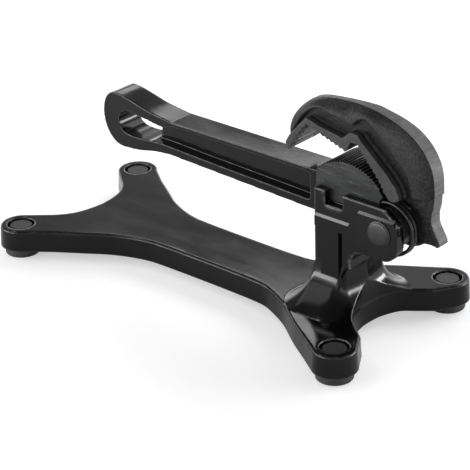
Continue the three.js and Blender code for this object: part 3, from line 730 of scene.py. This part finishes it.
def hook_ear():
    tab = smooth([[20, 80.5], [28.5, 83.4], [35.6, 83.8], [38.7, 83.5], [40.3, 84.8], [40.2, 87.2], [37.4, 92.6],
                  [34.5, 97.8], [33.6, 104], [34.6, 110], [34, 121]], 40)
    ear = [*arc(PIN["x"], PIN["z"], JAW["ear_radius"], 75, 300, 40), *tab, [12, 121], [11.5, 113]]
    rim = smooth([[36, 121], [33.5, 121], [31.5, 116], [31.4, 109], [30.8, 103], [32, 96.5], [35.6, 88.6], [37, 84.6],
                  [38.8, 83.7], [40.5, 85], [40.4, 87.2], [37.4, 92.6], [34.6, 97.8], [33.8, 104], [35.4, 111],
                  [36, 121]], 60)[:-1]
    return slab(ear, -JAW["ear"], JAW["ear"]), slab(rim, -JAW["rim"], JAW["rim"])


def hook_jaw():
    item = make("hook_jaw_body", hook_flange())
    combined(item, "UNION", hook_web(), hook_body(), *hook_ear())
    combined(item, "DIFFERENCE", rod(PIN["x"], PIN["z"], JAW["bore"], -20, 20))
    return cast(item, voxel=0.4, rounds=2, thin=0.004)


# Heel jaw

def heel_jaw():
    half, bottom, right = HEEL["half"], HEEL["bottom"], HEEL["right"]
    crown = arc(HEEL["x"], HEEL["z"], HEEL["radius"], HEEL["from"], HEEL["to"], HEEL["teeth"])
    room = arc(PIN["x"], PIN["z"], SPRING["radius"] + 2.2, 105, 38.2, 20)
    profile = [[HEEL["left"], bottom], [-1, bottom], *[p for p in room if p[1] > bottom and p[0] < right],
               [right, HEEL["right_top"]], *reversed(toothed(crown, HEEL["teeth"], HEEL["depth"]))]
    skirt = [[TANG["left"], HEEL["skirt"]], [TANG["right"], HEEL["skirt"]], [TANG["right"], HEEL["skirt_top"]],
             [TANG["left"], HEEL["skirt_top"]]]
    tenon = box(TENON["left"], TENON["right"], -TENON["half"], TENON["half"], TENON["bottom"], bottom + 1)
    item = make("heel_jaw_body", slab(profile, -half, half))
    return combined(item, "UNION", *slab_pair(skirt, HEEL["skirt_inner"], half), tenon)


# Pin, springs and small pieces

def on_coil(degrees, y):
    a = math.radians(degrees)
    return np.array([PIN["x"] + SPRING["radius"] * math.cos(a), y, PIN["z"] + SPRING["radius"] * math.sin(a)])


def clockwise(degrees):
    a = math.radians(degrees)
    return np.array([math.sin(a), 0, -math.cos(a)])


def spring(side):
    """A torsion spring, wound from a leg at the cheek to a bent end in the ear; side is 1 at the front, -1 behind."""
    sweep = 360 * SPRING["turns"] + SPRING["from"] - SPRING["to"]
    rise = sweep * SPRING["pitch"] / 360
    first = on_coil(SPRING["from"], -SPRING["near"])
    points = [first - clockwise(SPRING["from"]) * SPRING["leg"] * s for s in np.linspace(1, 0.12, 8)]
    points += [on_coil(SPRING["from"] - sweep * s, -SPRING["near"] + rise * s) for s in np.linspace(0, 1, 120)]
    last = points[-1]
    anchor = on_coil(SPRING["to"], 0) + clockwise(SPRING["to"]) * SPRING["bend"]
    bend = SPRING["bend"]
    points += smooth([last, [last[0] + 0.7 * (anchor[0] - last[0]), last[1] + 0.3 * bend,
                             last[2] + 0.7 * (anchor[2] - last[2])],
                      [anchor[0], last[1] + bend, anchor[2]], [anchor[0], -SPRING["in_ear"], anchor[2]]], 24)[1:]
    return tube([(p[0], p[1] * side, p[2]) for p in points], SPRING["wire"] / 2)


def pivot_pin():
    face = -(POST["half"] + PAD["proud"] + GAP)
    r, head, top = PIN["radius"], PIN["head"], PIN["head_top"]
    groove, groove_end, deep, end = PIN["groove"], PIN["groove_end"], r - PIN["groove_depth"], PIN["end"]
    dome = [[head * math.sin(a) * 0.93, face - 0.35 - (top - 0.35) * math.cos(a)]
            for a in np.linspace(0, math.pi / 2, 10)]
    shank = [[r, face], [r, groove], [deep, groove], [deep, groove_end], [r, groove_end], [r, PIN["chamfer_from"]],
             [r - PIN["chamfer"], end], [0, end]]
    return turned([*dome, [head, face - 0.25], [head, face], *shank], PIN["x"], PIN["z"], 96)


def ring_piece(inner, outer, y0, y1, x=PIN["x"], z=PIN["z"]):
    return turned([[inner, y0], [outer, y0], [outer, y1], [inner, y1], [inner, y0]], x, z)


def bolt(name, x, z):
    r, end, head, c, d = BOLT["radius"], BOLT["end"], BOLT["head"], BOLT["chamfer"], BOLT["head_chamfer"]
    under = BOLT["seat"] + BOLT["washer_depth"] + 2 * GAP
    top = under + BOLT["depth"]
    item = make(name, turned([[0, end], [r - c, end], [r, end + c], [r, under], [head, under], [head, top - d],
                              [head - d, top], [0, top]], x, z))
    return combined(item, "DIFFERENCE", rod(x, z, BOLT["socket"], top - BOLT["socket_depth"], top + 1, 6))


def rubber_foot(x, y):
    r, c, boss = FOOT["radius"], FOOT["chamfer"], FOOT["boss"]
    top = PLATE["bottom"] - GAP
    edge = [[r - c + c * math.sin(a), c - c * math.cos(a)] for a in np.linspace(0, math.pi / 2, 6)]
    return turned_up([[0, 0], *edge, [r, top - 0.5], [r - 0.5, top], [boss, top], [boss, FOOT["boss_top"]],
                      [FOOT["hole"], FOOT["boss_top"]], [FOOT["hole"], FOOT["hole_floor"]],
                      [0, FOOT["hole_floor"]]], x, y)


def foot_plug(x, y):
    low, head, top = FOOT["hole_floor"] + GAP, PLUG["head"], PLUG["top"]
    r = PLUG["edge"]
    edge = [[head - r + r * math.cos(a), top - r + r * math.sin(a)] for a in np.linspace(0, math.pi / 2, 5)]
    return turned_up([[0, low], [PLUG["stem"], low], [PLUG["stem"], PLUG["seat"]], [head, PLUG["seat"]], *edge,
                      [0, top]], x, y)


def build():
    piece(base_casting(), VISE, "black_enamel", ENAMEL, "base_casting")
    piece(crisp(pads(), 0.35, flat=True), VISE, "black_enamel", PAD_ENAMEL, "base_casting")
    piece(handle_body(), VISE, "black_enamel", ENAMEL, "handle")
    piece(hook_jaw(), HOOK, "jaw_black", JAW_BLACK, "hook_jaw")
    piece(crisp(make("pivot_pin_body", pivot_pin()), 0.15), VISE, "dark_steel", DARK_STEEL, "pivot_pin")
    for side, place in ((1, "front"), (-1, "back")):
        coil = make(f"coil_{place}", spring(side))
        coil.data.shade_smooth()
        piece(coil, VISE, "spring_wire", WIRE, f"torsion_spring_{place}")
    for name, (x, y) in FEET.items():
        foot = crisp(make(f"foot_rubber_{name}", rubber_foot(x, y)), 0.2)
        piece(foot, VISE, "rubber", RUBBER, f"rubber_foot_{name}")
        plug = crisp(make(f"foot_disc_{name}", foot_plug(x, y)), 0.2)
        piece(plug, VISE, "plug_steel", PLUG_STEEL, f"foot_plug_{name}")
    for i, (x, z) in enumerate(BOLTS, 1):
        piece(crisp(bolt(f"bolt_{i}", x, z), 0.25), VISE, "dark_steel", DARK_STEEL, f"handle_bolt_{i}")
        washer = ring_piece(BOLT["radius"] + GAP, BOLT["washer"], BOLT["seat"] + GAP,
                            BOLT["seat"] + GAP + BOLT["washer_depth"], x, z)
        piece(crisp(make(f"washer_{i}", washer), 0.2), VISE, "bright_steel", SHADE_DARKENED_STEEL, f"handle_bolt_washer_{i}")
    piece(crisp(heel_jaw(), 0.25, flat=True), VISE, "jaw_steel", JAW_STEEL, "heel_jaw")
    kept = {"heel_jaw_pin": (SHADE_DARKENED_STEEL, 0.2), "pivot_bush": (BRONZE, 0.15),
            "spring_sleeve_front": (SHADE_DARKENED_STEEL, 0.2), "spring_sleeve_back": (SHADE_DARKENED_STEEL, 0.2),
            "pin_washer": (SHADE_DARKENED_STEEL, 0.2), "pin_retaining_ring": (DARK_STEEL, 0.1)}
    for node, (material, width) in kept.items():
        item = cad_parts[node]
        for slot in item.material_slots:
            slot.material = material
        rounded(item, width, 38)


# Studio

def floor():
    """Pale paper; the camera sees it white, with the object's shadow on it, and mirrors and glass see its glow dimmer
    near the middle plane, a painted shade.
    """
    paper = make("floor", ([(-4000, -4000, -0.05), (4000, -4000, -0.05), (4000, 4000, -0.05), (-4000, 4000, -0.05)],
                           [(0, 1, 2, 3)]))
    n = Nodes("floor_paper")
    n.set(Roughness=0.8, Specular_IOR_Level=0.1, Emission_Color=(1, 1, 1, 1))
    n.base(n.mix(n.spread(n.noise(3, 3), 0.3, 0.7, 0, 1), (0.66, 0.66, 0.66), (0.7, 0.7, 0.7)))
    n.bump((n.noise(900, 3), 0.01))
    rays = n.tree.nodes.new("ShaderNodeLightPath").outputs
    mirrored_ray = n.larger(rays["Is Glossy Ray"], rays["Is Transmission Ray"])
    # Painted shade: mirrors and glass see the floor's glow weaker close to the middle plane, where the object's shade
    # falls.
    near = n.spread(n.side(), 0.05, 0.35, 0.1, 0.4)
    glow = n.larger(n.product(rays["Is Camera Ray"], 0.45), n.product(mirrored_ray, near))
    n.link(glow, n.shader.inputs["Emission Strength"])
    paper.data.materials.append(n.material)


def sky():
    """A dim room with a bright band low on its walls, open towards the camera."""
    world = bpy.data.worlds.new("studio")
    bpy.context.scene.world = world
    world.use_nodes = True
    tree = world.node_tree
    back = tree.nodes["Background"]
    coord = tree.nodes.new("ShaderNodeTexCoord").outputs["Generated"]
    split = tree.nodes.new("ShaderNodeSeparateXYZ")
    walls = tree.nodes.new("ShaderNodeValToRGB")
    tree.links.new(coord, split.inputs["Vector"])
    tree.links.new(split.outputs["Z"], walls.inputs["Fac"])
    stops = walls.color_ramp.elements
    stops[0].color = (0.18, 0.18, 0.18, 1)
    stops[1].color = (0.025, 0.025, 0.026, 1)
    for place, level in ((0.04, 0.6), (0.17, 0.6), (0.25, 0.25), (0.34, 0.095), (0.52, 0.095), (0.7, 0.05)):
        stops.new(place).color = (level, level, level, 1)
    facing = tree.nodes.new("ShaderNodeVectorMath")
    facing.operation = "DOT_PRODUCT"
    facing.inputs[1].default_value = (0.6, -0.8, 0)
    gap = tree.nodes.new("ShaderNodeMapRange")
    for key, value in (("From Min", 0.95), ("From Max", 0.985), ("To Min", 5), ("To Max", 0.6)):
        gap.inputs[key].default_value = value
    tree.links.new(coord, facing.inputs[0])
    tree.links.new(facing.outputs["Value"], gap.inputs["Value"])
    tree.links.new(walls.outputs["Color"], back.inputs["Color"])
    tree.links.new(gap.outputs["Result"], back.inputs["Strength"])


def light(name, place, size, power):
    lamp = bpy.data.lights.new(name, "AREA")
    lamp.shape = "RECTANGLE"
    lamp.size, lamp.size_y = size
    lamp.energy = power
    item = bpy.data.objects.new(name, lamp)
    bpy.context.scene.collection.objects.link(item)
    item.location = place
    item.rotation_euler = (Vector((0, 0, 0.06)) - Vector(place)).to_track_quat("-Z", "Y").to_euler()


def studio():
    floor()
    sky()
    light("back", (0.3, 0.95, 0.9), (1.1, 0.7), 9)
    light("sheet", (-0.28, 0.8, 0.6), (0.5, 0.34), 0.25)
    light("handle sheet", (-0.66, 0.68, 0.64), (0.36, 0.14), 0.6)
    light("overhead", (-0.58, -0.12, 1.07), (0.2, 0.14), 1.1)
    light("front strip", (-0.56, -0.89, 0.14), (1.2, 0.15), 8)
    light("front fill", (-0.57, -0.66, 0.62), (1.0, 0.5), 2.6)
    light("right strip", (1.0, 0.9, 0.17), (0.8, 0.2), 11)


def camera():
    yaw, pitch, roll = (math.radians(a) for a in (42.16862, 26.19565, -1.82984))
    ahead = Vector((-math.sin(yaw) * math.cos(pitch), math.cos(yaw) * math.cos(pitch), -math.sin(pitch)))
    right = Vector((math.cos(yaw), math.sin(yaw), 0))
    up = right.cross(ahead)
    across = math.cos(roll) * right + math.sin(roll) * up
    above = -math.sin(roll) * right + math.cos(roll) * up
    data = bpy.data.cameras.new("photo")
    data.sensor_width = 36
    data.lens = 148.03
    data.clip_end = 20
    item = bpy.data.objects.new("photo", data)
    bpy.context.scene.collection.objects.link(item)
    turn = Matrix((across, above, -ahead)).transposed().to_4x4()
    item.matrix_world = Matrix.Translation(((692.833 - MIDDLE_X) * MM, -0.921244, 0.648195)) @ turn
    bpy.context.scene.camera = item


build()
studio()
camera()
bpy.context.scene.view_settings.view_transform = "Standard"
